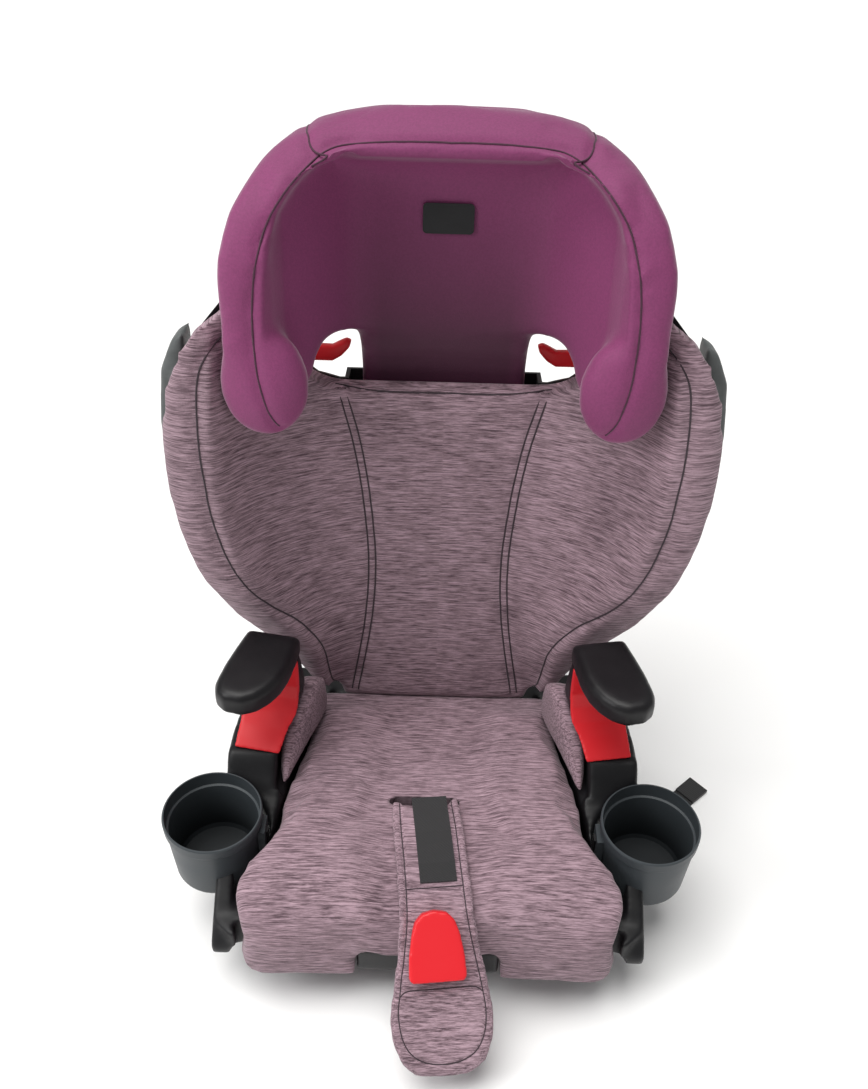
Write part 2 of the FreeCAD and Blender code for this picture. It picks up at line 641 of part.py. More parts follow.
def side_guard():
    """Grey bumper on the outside of the wing, on two pegs that stand against the shell."""
    outline = [(232, 268), (252, 268), (258, 296), (261, 340), (256, 392), (244, 420), (232, 428)]
    pad = front(outline, -54, -16)
    pad = softened(pad, 5, lambda e: e.Length > 20 and e.Vertexes[0].X > 250)
    for z in (300, 385):
        pad = pad.fuse(rod(5, V(239, -72, z), V(239, -50, z)))
    pad = pad.cut(back_shell()).cut(back_foam())
    return max(pad.Solids, key=lambda s: s.Volume)


def height_rail():
    rail = box(-14, 14, 46.5, 52.3, 60, 350)
    z = BOLT_S % NOTCH_PITCH + 60
    while z < 345:
        rail = rail.cut(rod(BOLT_R + 0.6, V(0, 40, z), V(0, 60, z)))
        z += NOTCH_PITCH
    return rail


def rear_cover():
    """Access panel over the height rail, outside the shell."""
    panel = box(-46, 46, 57.6, 60.6, 40, 350)
    return softened(panel, 10, lambda e: abs(e.Length - 3) < 0.01)


def back_screws():
    made = []
    for x in (-36, 36):
        for z in (52, 338):
            made.append(Part.makeCylinder(4, 1.8, V(x, 60.8, z), Y_AXIS))
    return Part.makeCompound(made)


# ---------------------------------------------------------------- headrest, in the back frame
HEAD_OUT = both_sides([
    (0, 48), (92, 44), (140, 28), (172, 2), (190, -30), (199, -62), (200, -92), (195, -106), (186, -113),
    (178, -113), (150, -106), (110, -92), (60, -76), (0, -70),
])
HEAD_MIDDLE = both_sides([
    (0, 46), (110, 46), (130, 38), (143, 16), (150, -20), (153, -36), (168, -52), (184, -70), (196, -86),
    (198, -98), (195, -106), (186, -113), (178, -113), (150, -106), (110, -92), (60, -76), (0, -70),
])
HEAD_LOW = both_sides([
    (0, 46), (109, 46), (110, -6), (130, -18), (150, -33), (168, -52), (184, -70), (196, -86), (198, -98),
    (195, -106), (186, -113), (178, -113), (150, -106), (110, -92), (60, -76), (0, -70),
])
HEAD_CAVITY = both_sides([
    (0, 14), (50, 12), (88, 3), (104, -14), (122, -36), (140, -58), (152, -80), (158, -100), (162, -122),
    (0, -122),
])
HEAD_FRONT = both_sides([
    (0, ARCH_TOP), (83, ARCH_TOP), (90, 417), (102, 417), (109, 409), (112, 393), (116, 372), (128, 354),
    (150, HEAD_TIP), (172, 356), (188, 374), (198, 405), (201, 450), (197, 500), (184, 548), (160, 585),
    (124, 609), (65, 620), (0, HEAD_TOP),
])
HEAD_MOUTH = both_sides([
    (0, 300), (162, 300), (162, 453), (158, 496), (148, 533), (127, 565), (104, 583), (79, 589), (0, ROOF_IN),
])
HEAD_SIDE = [
    (48, 300), (48, 610), (32, 620), (8, 625), (-14, 621), (-32, 610), (-43, 597), (-58, 587), (-76, 572),
    (-92, 551), (-104, 524), (-111, 490), (-113, 450), (-113, 300),
]
CAVITY_SIDE = [
    (14, 300), (14, 540), (11, 556), (3, 570), (-10, 581), (-28, 588), (-50, 592), (-130, 592), (-130, 300),
]


SHELL_SIDE = [(60, 300), (60, 600), (44, 603), (30, 609), (8, 613), (-14, 609), (-30, 598), (-60, 580), (-60, 300)]


def head_block(inset):
    """The padded headrest without its neck, shrunk by inset on every side."""
    shrink = (lambda p: grown(p, -inset)) if inset else (lambda p: p)
    expand = (lambda p: grown(p, inset)) if inset else (lambda p: p)
    upper = plan(shrink(HEAD_OUT), HEAD_LEDGE, HEAD_TOP + 2)
    middle = plan(shrink(HEAD_MIDDLE), ARCH_TOP - 3, HEAD_LEDGE + 1)
    lower = plan(shrink(HEAD_LOW), HEAD_TIP - 5, ARCH_TOP - 2)
    cavity = plan(expand(HEAD_CAVITY), HEAD_TIP - 10, HEAD_TOP)
    cavity = cavity.common(front(expand(HEAD_MOUTH), -200, 100)).common(side(expand(CAVITY_SIDE), -220, 220))
    block = upper.fuse(middle).fuse(lower).cut(cavity)
    block = block.common(side(shrink(HEAD_SIDE), -220, 220))
    return block.common(front(shrink(HEAD_FRONT), -200, 100))


def stem_slot():
    wide = box(-STEM_HALF - 1, STEM_HALF + 1, 29, STEM_REAR + 1, 300, 562)
    narrow = box(-5.5, 5.5, 29, 43, 300, 612)
    mouth = box(-7, 7, 29, 60, 578, 612)
    return wide.fuse(narrow).fuse(mouth)


def headrest_shell():
    """Moulded rear of the hood, a little inside the padding's edge."""
    outside, inside = grown(HEAD_OUT, -0.5), grown(HEAD_OUT, -0.5 - SHELL)
    ring = plan(outside, HEAD_LEDGE, HEAD_TOP).cut(plan(inside, 300, HEAD_TOP))
    rear = ring.common(box(-220, 220, -22, 60, HEAD_LEDGE, HEAD_TOP))
    lower = box(-108, 108, 46 - SHELL + 0.1, 46, ARCH_TOP + 2, HEAD_LEDGE + 4)
    wall = rear.fuse(lower).common(front(grown(HEAD_FRONT, -9), -200, 100)).cut(stem_slot())
    wall = wall.common(side(SHELL_SIDE, -220, 220))
    return max(wall.Solids, key=lambda s: s.Volume)


def headrest_foam():
    block = head_block(SKIN + GAP)
    ring = plan(grown(HEAD_OUT, -SHELL - 1.3), HEAD_TIP, HEAD_TOP + 3)
    rear = box(-230, 230, -23, 70, HEAD_LEDGE, HEAD_TOP + 3).cut(ring)
    block = block.cut(rear).cut(box(-120, 120, 41, 60, HEAD_TIP, HEAD_LEDGE + 6)).cut(stem_slot())
    return max(block.Solids, key=lambda s: s.Volume)


def headrest_cover():
    """Lining of the inside of the hood."""
    region = plan(grown(HEAD_CAVITY, SKIN), HEAD_TIP - 10, HEAD_TOP)
    region = region.common(front(grown(HEAD_MOUTH, SKIN), -200, 100))
    region = region.common(side(grown(CAVITY_SIDE, SKIN), -220, 220))
    lining = head_block(0).common(region).cut(box(-230, 230, 41, 60, 300, 700))
    return max(lining.Solids, key=lambda s: s.Volume)


def neck_sleeve():
    """Fabric sleeve round the stem, which slides down into the back's channel."""
    neck = box(-NECK_HALF, NECK_HALF, 28.4, 45.9, SLEEVE_END, ARCH_TOP - GAP)
    return neck.cut(box(-NECK_HALF + 2, NECK_HALF - 2, 30, 44.3, SLEEVE_END - 1, ARCH_TOP))


def headrest_stem():
    """Steel plate that slides in the back's channel, with a lug over the return spring."""
    plate = box(-STEM_HALF, STEM_HALF, STEM_FRONT, STEM_REAR, BOLT_S - 17, 560)
    thick = STEM_REAR - STEM_FRONT
    plate = softened(plate, 12, lambda e: abs(e.Length - thick) < 0.01 and e.Vertexes[0].Z < 300)
    for z in (250, 310, 370, 450):
        plate = plate.cut(box(-48, -18, 30, 45, z - 18, z + 18)).cut(box(18, 48, 30, 45, z - 18, z + 18))
    tongue = box(-5, 5, STEM_FRONT, STEM_REAR, 559, SPRING_TOP + 2.3)
    lug = box(-5, 5, 30, STEM_FRONT + 1, SPRING_TOP, SPRING_TOP + 2.3)
    plate = plate.fuse(tongue).fuse(lug.cut(rod(ROD_PULL + 0.3, V(0, PULL_Y, 500), V(0, PULL_Y, 620))))
    return plate.cut(rod(BOLT_R + 0.3, V(0, 30, BOLT_S), V(0, 50, BOLT_S))).removeSplitter()


def badge():
    """Blank label on the front of the headrest."""
    patch = box(-23, 23, 10.4, 11.7, 505, 532)
    patch = softened(patch, 4, lambda e: abs(e.Length - 1.3) < 0.01)
    return patch


def shoulder_belt_guide():
    """Red C-hook behind the headrest's lobe, open towards the neck."""
    outline = [
        (90, 420), (118, 418), (150, 416), (156, 408), (154, 398), (146, 391), (104, 390), (96, 389), (91, 384),
        (93, 378), (101, 374), (150, 374), (164, 384), (170, 400), (168, 420), (156, 434), (118, 436), (90, 436),
    ]
    hook = front(outline, 46, 57)
    return softened(hook, 3, lambda e: same(e, "Y") and e.Vertexes[0].X < 108 and e.Vertexes[0].Z < 400)


def guide_screws():
    made = []
    for x in (-98, 98):
        made.append(Part.makeCylinder(3.6, 1.8, V(x, 57.2, 428), Y_AXIS))
    return Part.makeCompound(made)


def adjuster_handle():
    """Grip on the back of the headrest. Lifting it pulls the bolt out of the rail."""
    grip = box(-42, 42, 49, 62, 584, 600)
    grip = softened(grip, 4, lambda e: e.Length > 20)
    neck = box(-5, 5, 30, 50, 588, 596)
    return grip.fuse(neck).removeSplitter()


def pull_rod():
    """Rod from the grip down to the bolt, with a collar under the return spring."""
    collar = rod(3.2, V(0, PULL_Y, 563), V(0, PULL_Y, 565.6)).common(box(-5, 5, 29.6, 34.3, 560, 570))
    return rod(ROD_PULL, V(0, PULL_Y, BOLT_S + 9), V(0, PULL_Y, 587.9)).fuse(collar)


def lock_bolt():
    pin = rod(BOLT_R, V(0, 30, BOLT_S), V(0, 46, BOLT_S))
    return pin.fuse(rod(5, V(0, 29.5, BOLT_S), V(0, 31.8, BOLT_S)))


def adjuster_spring():
    """Return spring round the pull rod, between its collar and the stem's lug."""
    low = V(0, PULL_Y, 566)
    high = V(0, PULL_Y, SPRING_TOP - 0.1)
    return rod(2.1, low, high).cut(rod(ROD_PULL + 0.3, V(0, PULL_Y, 565), V(0, PULL_Y, 590)))


# ---------------------------------------------------------------- writing
def main():
    os.makedirs("parts", exist_ok=True)
    nodes = {
        "base_shell": base_shell(), "base_tray": base_tray(), "base_screws": base_screws(),
        "seat_foam": seat_foam(), "seat_cover": seat_cover(), "anchor_bar": anchor_bar(),
        "crotch_strap": crotch_strap(), "pivot_rod": pivot_rod(),
        "rod_caps": rod_caps(), "pull_strap": pull_strap(),
        "flap_pad": flap_pad(), "flap_binding": flap_binding(), "flap_webbing": flap_webbing(),
        "belt_clip": belt_clip(), "clip_plate": clip_plate(), "clip_rivets": clip_rivets(),
    }
    paired = {
        "hip_bolster": hip_bolster, "armrest_pad": armrest_pad, "armrest_pillar": armrest_pillar,
        "lap_belt_guide": lap_belt_guide, "cup_holder": cup_holder, "cup_bracket": cup_bracket,
        "latch_housing": latch_housing, "latch_button": latch_button, "latch_jaw": latch_jaw,
        "latch_pin": latch_pin, "latch_webbing": latch_webbing,
    }
    for name, make in paired.items():
        right = make()
        nodes[name + "_right"] = right
        nodes[name + "_left"] = mirrored(right)
    upright = {
        "back_shell": back_shell, "back_foam": back_foam, "back_cover": back_cover, "height_rail": height_rail,
        "rear_cover": rear_cover, "back_screws": back_screws, "pivot_hooks": pivot_hooks,
        "headrest_shell": headrest_shell, "headrest_foam": headrest_foam, "headrest_cover": headrest_cover,
        "neck_sleeve": neck_sleeve, "headrest_stem": headrest_stem, "badge": badge, "guide_screws": guide_screws,
        "adjuster_handle": adjuster_handle, "pull_rod": pull_rod, "lock_bolt": lock_bolt,
        "adjuster_spring": adjuster_spring,
    }
    for name, make in upright.items():
        nodes[name] = leaned(make())
    for name, make in {"side_guard": side_guard, "shoulder_belt_guide": shoulder_belt_guide}.items():
        right = make()
        nodes[name + "_right"] = leaned(right)
        nodes[name + "_left"] = leaned(mirrored(right))
    for name, shape in sorted(nodes.items()):
        shape.exportStep(os.path.join("parts", name + ".step"))
        print(name, len(shape.Solids), "solids", round(shape.Volume / 1000, 1), "cm3", shape.isValid())


main()
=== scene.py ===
import math

import bmesh
import bpy
import numpy as np
from mathutils import Matrix, Vector, kdtree, noise
from mathutils.bvhtree import BVHTree


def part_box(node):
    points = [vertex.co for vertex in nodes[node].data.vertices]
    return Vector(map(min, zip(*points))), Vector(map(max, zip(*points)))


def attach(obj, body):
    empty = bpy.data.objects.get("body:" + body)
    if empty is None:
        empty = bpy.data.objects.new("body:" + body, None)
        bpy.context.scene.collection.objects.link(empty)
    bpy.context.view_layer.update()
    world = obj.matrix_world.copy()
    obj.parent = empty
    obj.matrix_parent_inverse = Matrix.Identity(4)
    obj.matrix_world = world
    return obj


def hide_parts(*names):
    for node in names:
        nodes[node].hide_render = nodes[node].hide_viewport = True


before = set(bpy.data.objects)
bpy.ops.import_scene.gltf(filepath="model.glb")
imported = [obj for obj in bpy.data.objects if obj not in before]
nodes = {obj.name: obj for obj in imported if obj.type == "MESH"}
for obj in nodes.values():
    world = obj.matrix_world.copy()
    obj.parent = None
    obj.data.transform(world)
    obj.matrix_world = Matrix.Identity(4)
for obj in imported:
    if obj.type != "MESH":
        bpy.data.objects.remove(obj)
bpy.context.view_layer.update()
scene = bpy.context.scene

CREASE_Y, CREASE_Z, RECLINE = 95.0, 118.0, math.radians(10)      # the back leans about this line, mm
MM = 0.001


def lean(x, y, z):
    """Back frame, mm, to the row frame, metres."""
    c, s = math.cos(RECLINE), math.sin(RECLINE)
    return Vector((x, CREASE_Y + y * c + z * s, CREASE_Z - y * s + z * c)) * MM


def upright(co):
    """Row frame, metres, as an array, to the back frame, mm."""
    c, s = math.cos(RECLINE), math.sin(RECLINE)
    y, z = co[:, 1] / MM - CREASE_Y, co[:, 2] / MM - CREASE_Z
    return np.stack([co[:, 0] / MM, y * c - z * s, y * s + z * c], axis=1)


BACKWARDS = lean(0, 1, 0) - lean(0, 0, 0)
UPWARDS = lean(0, 0, 1) - lean(0, 0, 0)


# ---------------------------------------------------------------- camera, lights and floor
CAMERA_PLACE = (-0.0049, -0.7694, 1.0406)
CAMERA_PITCH, CAMERA_ROLL = 0.686, 0.028        # down from level, and about its own axis, radians
CAMERA_LENS, SENSOR_WIDTH = 37.36, 36.0
WORLD_STRENGTH = 0.31
KEY_ENERGY, KEY_SPREAD, KEY_COLOUR = 2.7, math.radians(46), (1.0, 0.99, 0.97)
KEY_WAY = (0.18, -0.02, -1.0)
SIDE_PLACE, SIDE_AIM, SIDE_SIZE, SIDE_POWER = (-1.5, -0.7, 1.5), (0, 0.1, 0.35), 0.9, 15


def add_camera():
    pitch, roll = CAMERA_PITCH, CAMERA_ROLL
    data = bpy.data.cameras.new("view")
    data.lens, data.sensor_width = CAMERA_LENS, SENSOR_WIDTH
    data.clip_start, data.clip_end = 0.05, 20
    camera = bpy.data.objects.new("view", data)
    scene.collection.objects.link(camera)
    ahead = Vector((0, math.cos(pitch), -math.sin(pitch)))
    up, right = Vector((0, math.sin(pitch), math.cos(pitch))), Vector((1, 0, 0))
    across = right * math.cos(roll) + up * math.sin(roll)
    above = up * math.cos(roll) - right * math.sin(roll)
    camera.matrix_world = Matrix.Translation(CAMERA_PLACE) @ Matrix(
        (across, above, -ahead)).transposed().to_4x4()
    scene.camera = camera


def add_light(name, place, aim, size, power, tint=(1, 1, 1)):
    data = bpy.data.lights.new(name, "AREA")
    data.shape, data.size, data.energy, data.color = "DISK", size, power, tint
    lamp = bpy.data.objects.new(name, data)
    scene.collection.objects.link(lamp)
    lamp.location = place
    lamp.rotation_euler = (Vector(aim) - Vector(place)).to_track_quat("-Z", "Y").to_euler()


def add_studio():
    world = bpy.data.worlds.new("studio")
    scene.world = world
    world.use_nodes = True
    world.node_tree.nodes["Background"].inputs["Color"].default_value = (1.0, 1.0, 1.0, 1)
    world.node_tree.nodes["Background"].inputs["Strength"].default_value = WORLD_STRENGTH
    scene.view_settings.view_transform = "Standard"
    key = bpy.data.lights.new("key", "SUN")
    key.energy, key.angle, key.color = KEY_ENERGY, KEY_SPREAD, KEY_COLOUR
    lamp = bpy.data.objects.new("key", key)
    lamp.rotation_euler = Vector(KEY_WAY).to_track_quat("-Z", "Y").to_euler()
    scene.collection.objects.link(lamp)
    add_light("side", SIDE_PLACE, SIDE_AIM, SIDE_SIZE, SIDE_POWER)
    floor = bpy.data.meshes.new("floor")
    bm = bmesh.new()
    bmesh.ops.create_grid(bm, x_segments=1, y_segments=1, size=6)
    bm.to_mesh(floor)
    bm.free()
    ground = bpy.data.objects.new("floor", floor)
    scene.collection.objects.link(ground)
    paint = plain("pale_floor", (0.96, 0.96, 0.96), 0.9)
    floor.materials.append(paint)


# ---------------------------------------------------------------- materials
def plain(name, colour, roughness, **sockets):
    """A material with its shader's sockets set directly."""
    paint = bpy.data.materials.new(name)
    paint.use_nodes = True
    shader = paint.node_tree.nodes["Principled BSDF"]
    shader.inputs["Base Color"].default_value = (*colour, 1)
    shader.inputs["Roughness"].default_value = roughness
    for socket, value in sockets.items():
        shader.inputs[socket.replace("_", " ")].default_value = value
    return paint


class Graph:
    """Short calls for a material's nodes."""

    def __init__(self, paint):
        self.tree = paint.node_tree
        self.shader = self.tree.nodes["Principled BSDF"]
        self.coord = self.tree.nodes.new("ShaderNodeTexCoord").outputs["Object"]

    def put(self, kind, inputs=(), **settings):
        node = self.tree.nodes.new(kind)
        for key, value in settings.items():
            setattr(node, key, value)
        for socket, value in dict(inputs).items():
            target = node.inputs[socket]
            if hasattr(value, "is_output"):
                self.tree.links.new(value, target)
            else:
                target.default_value = value
        return node

    def mapped(self, scale, rotation=(0, 0, 0)):
        return self.put("ShaderNodeMapping", {
            "Vector": self.coord, "Scale": scale, "Rotation": rotation}).outputs["Vector"]

    def noise(self, scale, vector=None, detail=3.0, roughness=0.55, distortion=0.0):
        return self.put("ShaderNodeTexNoise", {
            "Vector": vector or self.coord, "Scale": scale, "Detail": detail, "Roughness": roughness,
            "Distortion": distortion}).outputs["Fac"]

    def ramp(self, factor, stops):
        node = self.put("ShaderNodeValToRGB", {"Fac": factor})
        band = node.color_ramp
        while len(band.elements) < len(stops):
            band.elements.new(0.5)
        for element, (place, colour) in zip(band.elements, stops):
            element.position = place
            element.color = (*colour, 1) if len(colour) == 3 else colour
        return node.outputs["Color"]

    def math(self, operation, a, b):
        return self.put("ShaderNodeMath", {0: a, 1: b}, operation=operation).outputs[0]

    def mix(self, factor, a, b, blend="MIX"):
        node = self.put("ShaderNodeMix", data_type="RGBA", blend_type=blend)
        for socket, value in ((0, factor), (6, a), (7, b)):
            if hasattr(value, "is_output"):
                self.tree.links.new(value, node.inputs[socket])
            else:
                node.inputs[socket].default_value = value
        return node.outputs[2]

    def range(self, value, low, high, to_low, to_high):
        return self.put("ShaderNodeMapRange", {
            "Value": value, "From Min": low, "From Max": high,
            "To Min": to_low, "To Max": to_high}).outputs["Result"]

    def cells(self, scale):
        return self.put("ShaderNodeTexVoronoi", {"Vector": self.mapped(scale), "Scale": 1.0}).outputs["Distance"]

    def bump(self, height, distance, strength=1.0):
        node = self.put("ShaderNodeBump", {"Height": height, "Distance": distance, "Strength": strength})
        self.tree.links.new(node.outputs["Normal"], self.shader.inputs["Normal"])

    def paint(self, colour=None, roughness=None):
        if colour is not None:
            self.tree.links.new(colour, self.shader.inputs["Base Color"])
        if roughness is not None:
            self.tree.links.new(roughness, self.shader.inputs["Roughness"])


def melange_knit(name, stretch, dark, middle, light, laid=None):
    """Space-dyed knit: short flecks of three yarn tones that lie across the cloth, or along the map laid."""
    paint = plain(name, middle, 0.92, Sheen_Weight=0.12, Sheen_Roughness=0.5)
    g = Graph(paint)
    if laid:
        g.coord = g.put("ShaderNodeUVMap", uv_map=laid).outputs["UV"]
    flecks = g.noise(1.0, g.mapped(stretch), 4.0, 0.72, 0.25)
    fine = g.noise(1.0, g.mapped([v * 2.7 for v in stretch]), 2.0, 0.6)
    patches = g.noise(14.0, None, 2.0)
    tone = g.math("ADD", g.math("MULTIPLY", flecks, 0.62), g.math("MULTIPLY", fine, 0.38))
    tone = g.math("ADD", tone, g.math("MULTIPLY", g.math("SUBTRACT", patches, 0.5), 0.10))
    colour = g.ramp(tone, [(0.40, dark), (0.47, middle), (0.54, light), (0.62, [c * 1.4 for c in light])])
    loops = g.cells((620, 800, 800))
    g.paint(colour)
    g.bump(g.math("ADD", g.math("MULTIPLY", loops, 0.6), g.math("MULTIPLY", fine, 0.8)), 0.0006, 0.55)
    return paint


def smooth_knit(name, colour):
    """Fine plain knit with a soft sheen."""
    deep = [c * 0.86 for c in colour]
    paint = plain(name, colour, 0.7, Sheen_Weight=0.35, Sheen_Roughness=0.35)
    g = Graph(paint)
    mottled = g.noise(520.0, None, 2.0)
    loops = g.cells((900, 900, 1150))
    g.paint(g.mix(g.range(mottled, 0.35, 0.65, 0, 1), (*deep, 1), (*colour, 1)))
    g.bump(g.math("ADD", loops, g.math("MULTIPLY", mottled, 0.4)), 0.0004, 0.35)
    return paint


def hood_knit(name, colour, deep):
    """The hood's knit, with painted shade deepening it at the back of its hollow, towards the neck."""
    paint = smooth_knit(name, colour)
    g = Graph(paint)
    x, y, z = g.put("ShaderNodeSeparateXYZ", {"Vector": g.coord}).outputs
    y, z = g.math("SUBTRACT", y, CREASE_Y * MM), g.math("SUBTRACT", z, CREASE_Z * MM)
    c, s = math.cos(RECLINE), math.sin(RECLINE)
    rear = g.math("SUBTRACT", g.math("MULTIPLY", y, c), g.math("MULTIPLY", z, s))
    up = g.math("ADD", g.math("MULTIPLY", y, s), g.math("MULTIPLY", z, c))
    depth = g.math("MULTIPLY", g.range(rear, -0.075, 0.005, 0, 1), g.range(rear, 0.036, 0.033, 0, 1))
    inward = g.range(g.math("ABSOLUTE", x, 0), 0.14, 0.06, 0, 1)
    middle = g.math("MULTIPLY", inward, g.range(up, 0.57, 0.40, 0, 0.86))
    tone = g.shader.inputs["Base Color"].links[0].from_socket
    # painted shade: the knit is mixed towards the deep colour in the back of the hollow and lower down its
    # middle
    g.paint(g.mix(g.math("MULTIPLY", depth, middle), tone, (*deep, 1)))
    return paint


def webbing(name, colour, across):
    """Woven strap: ribs across it and a fine twill along it."""
    paint = plain(name, colour, 0.62, Sheen_Weight=0.2)
    g = Graph(paint)
    ribs = g.put("ShaderNodeTexWave", {"Vector": g.coord, "Scale": 260.0, "Distortion": 0.4, "Detail": 1.0},
                 bands_direction=across).outputs["Fac"]
    twill = g.put("ShaderNodeTexWave", {"Vector": g.coord, "Scale": 190.0, "Distortion": 0.2},
                  bands_direction="DIAGONAL").outputs["Fac"]
    both = g.math("ADD", g.math("MULTIPLY", ribs, 0.6), g.math("MULTIPLY", twill, 0.4))
    g.paint(g.ramp(both, [(0.1, [c * 0.6 for c in colour]), (0.9, [c * 1.7 for c in colour])]))
    g.bump(both, 0.0005, 0.7)
    return paint


def moulded(name, colour, roughness, grain=1400.0, depth=0.35, wear=1.5):
    """Moulded plastic: fine spark-eroded grain, faint scuffs in its gloss."""
    paint = plain(name, colour, roughness, Specular_IOR_Level=0.3)
    g = Graph(paint)
    pits = g.noise(grain, None, 2.0, 0.6)
    scuffs = g.noise(9.0, g.mapped((1, 1, 2.5)), 6.0, 0.7)
    g.paint(g.mix(g.range(scuffs, 0.4, 0.75, 0, 1), (*colour, 1), (*[c * wear + 0.002 for c in colour], 1)),
            g.range(scuffs, 0.3, 0.8, roughness - 0.06, roughness + 0.12))
    g.bump(pits, 0.0003, depth)
    return paint


def cup_plastic(name, colour):
    """The cups' plastic, with painted shade deepening it inside, towards the bottom."""
    paint = moulded(name, colour, 0.42, 1200.0, 0.3, 1.25)
    g = Graph(paint)
    x, y, z = g.put("ShaderNodeSeparateXYZ", {"Vector": g.coord}).outputs
    out = g.math("SUBTRACT", g.math("ABSOLUTE", x, 0), 0.211)
    back = g.math("ADD", y, 0.095)
    radius = g.math("SQRT", g.math("ADD", g.math("MULTIPLY", out, out), g.math("MULTIPLY", back, back)), 0)
    wall = g.math("ADD", g.math("MULTIPLY", z, 0.0576), 0.0366)
    depth = g.math("MULTIPLY", g.math("LESS_THAN", radius, wall), g.range(z, 0.135, 0.085, 0, 0.85))
    tone = g.shader.inputs["Base Color"].links[0].from_socket
    # painted shade: inside the cup wall the colour is mixed towards near-black, more so lower down
    g.paint(g.mix(depth, tone, (0.003, 0.004, 0.005, 1)))
    return paint


def steel(name):
    paint = plain(name, (0.52, 0.52, 0.53), 0.32, Metallic=1.0)
    g = Graph(paint)
    brushed = g.noise(1.0, g.mapped((60, 900, 900)), 3.0)
    g.paint(None, g.range(brushed, 0.3, 0.7, 0.24, 0.42))
    g.bump(brushed, 0.0002, 0.2)
    return paint


# ---------------------------------------------------------------- mesh tools
def coords(mesh):
    flat = np.empty(len(mesh.vertices) * 3, np.float64)
    mesh.vertices.foreach_get("co", flat)
    return flat.reshape(-1, 3)


def place(mesh, co):
    mesh.vertices.foreach_set("co", np.ascontiguousarray(co, np.float32).ravel())
    mesh.update()


def piece(name, mesh, paint, body, replaced=()):
    """An object for a finished mesh, with its material, that rides on a body."""
    thing = bpy.data.objects.new(name, mesh)
    scene.collection.objects.link(thing)
    mesh.materials.clear()
    mesh.materials.append(paint)
    for face in mesh.polygons:
        face.use_smooth = True
    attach(thing, body)
    if replaced:
        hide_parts(*replaced)
    return thing


def from_nodes(names):
    """One closed mesh from copies of CAD nodes."""
    bm = bmesh.new()
    for name in names:
        bm.from_mesh(nodes[name].data)
    bmesh.ops.remove_doubles(bm, verts=bm.verts, dist=1e-6)
    return finished(bm)


def finished(bm, leaning=False):
    """The mesh of a bmesh, leaned back with the seat if it was drawn in the back frame."""
    if leaning:
        for vertex in bm.verts:
            vertex.co = lean(*vertex.co)
    mesh = bpy.data.meshes.new("work")
    bm.to_mesh(mesh)
    bm.free()
    return mesh


def stretched(bm, size, middle):
    bmesh.ops.scale(bm, vec=size, verts=bm.verts)
    bmesh.ops.translate(bm, vec=middle, verts=bm.verts)
    return bm


def cube(x, y, z):
    """A box from three (low, high) pairs."""
    bm = bmesh.new()
    bmesh.ops.create_cube(bm, size=1.0)
    size = [high - low for low, high in (x, y, z)]
    return stretched(bm, size, [(high + low) / 2 for low, high in (x, y, z)])


def grown_box(x, y, z):
    """A box in the row frame, metres."""
    return finished(cube(x, y, z))


def block(x, y, z):
    """A box in the back frame, mm."""
    return finished(cube(x, y, z), leaning=True)


def ball(middle, half):
    """An egg shape in the back frame, mm."""
    bm = bmesh.new()
    bmesh.ops.create_icosphere(bm, subdivisions=4, radius=1.0)
    return finished(stretched(bm, half, middle), leaning=True)


def modified(mesh, *stack):
    """The mesh after a stack of (kind, settings) modifiers."""
    thing = bpy.data.objects.new("work", mesh)
    scene.collection.objects.link(thing)
    for kind, settings in stack:
        made = thing.modifiers.new(kind, kind)
        for key, value in settings.items():
            setattr(made, key, value)
    bpy.context.view_layer.update()
    done = bpy.data.meshes.new_from_object(thing.evaluated_get(bpy.context.evaluated_depsgraph_get()))
    bpy.data.objects.remove(thing)
    return done


def remeshed(mesh, voxel, rounds, factor=0.5):
    return modified(mesh, ("REMESH", {"mode": "VOXEL", "voxel_size": voxel}),
                    ("SMOOTH", {"iterations": rounds, "factor": factor}))


RELAX_SHARE = 0.6
CLOTH_FRAMES = 20


def relaxed(mesh, rounds, share):
    """Smooths a mesh where share says so, by drawing each point to the middle of its neighbours."""
    ends = np.empty(len(mesh.edges) * 2, np.int64)
    mesh.edges.foreach_get("vertices", ends)
    a, b = ends.reshape(-1, 2).T
    co = coords(mesh)
    count = np.maximum(np.bincount(a, minlength=len(co)) + np.bincount(b, minlength=len(co)), 1)
    weight = share(co)
    for _ in range(rounds):
        for axis in range(3):
            total = np.bincount(a, co[b, axis], minlength=len(co))
            total = total + np.bincount(b, co[a, axis], minlength=len(co))
            co[:, axis] += RELAX_SHARE * weight * (total / count - co[:, axis])
    place(mesh, co)


def swollen(mesh, pressure, cap, hold=None):
    """The mesh blown up as sewn cloth, with no point further than cap from where it was."""
    thing = bpy.data.objects.new("cloth", mesh)
    scene.collection.objects.link(thing)
    before = coords(mesh)
    cloth = thing.modifiers.new("cloth", "CLOTH")
    cloth.settings.quality = 4
    cloth.settings.use_pressure = True
    cloth.settings.uniform_pressure_force = pressure
    cloth.settings.effector_weights.gravity = 0
    cloth.collision_settings.use_collision = False
    cloth.point_cache.frame_start, cloth.point_cache.frame_end = 1, CLOTH_FRAMES
    for step in range(1, CLOTH_FRAMES + 1):
        scene.frame_set(step)
    after = coords(thing.evaluated_get(bpy.context.evaluated_depsgraph_get()).data)
    bpy.data.objects.remove(thing)
    scene.frame_set(1)
    move = after - before
    run = np.linalg.norm(move, axis=1)
    move *= np.minimum(1, cap / np.maximum(run, 1e-9))[:, None]
    if hold is not None:
        move *= hold(before)[:, None]
    place(mesh, before + move)
    return mesh


def subdivided(mesh):
    return modified(mesh, ("SUBSURF", {"levels": 1, "render_levels": 1}))


def surface(mesh):
    return BVHTree.FromPolygons([v.co for v in mesh.vertices], [p.vertices for p in mesh.polygons])


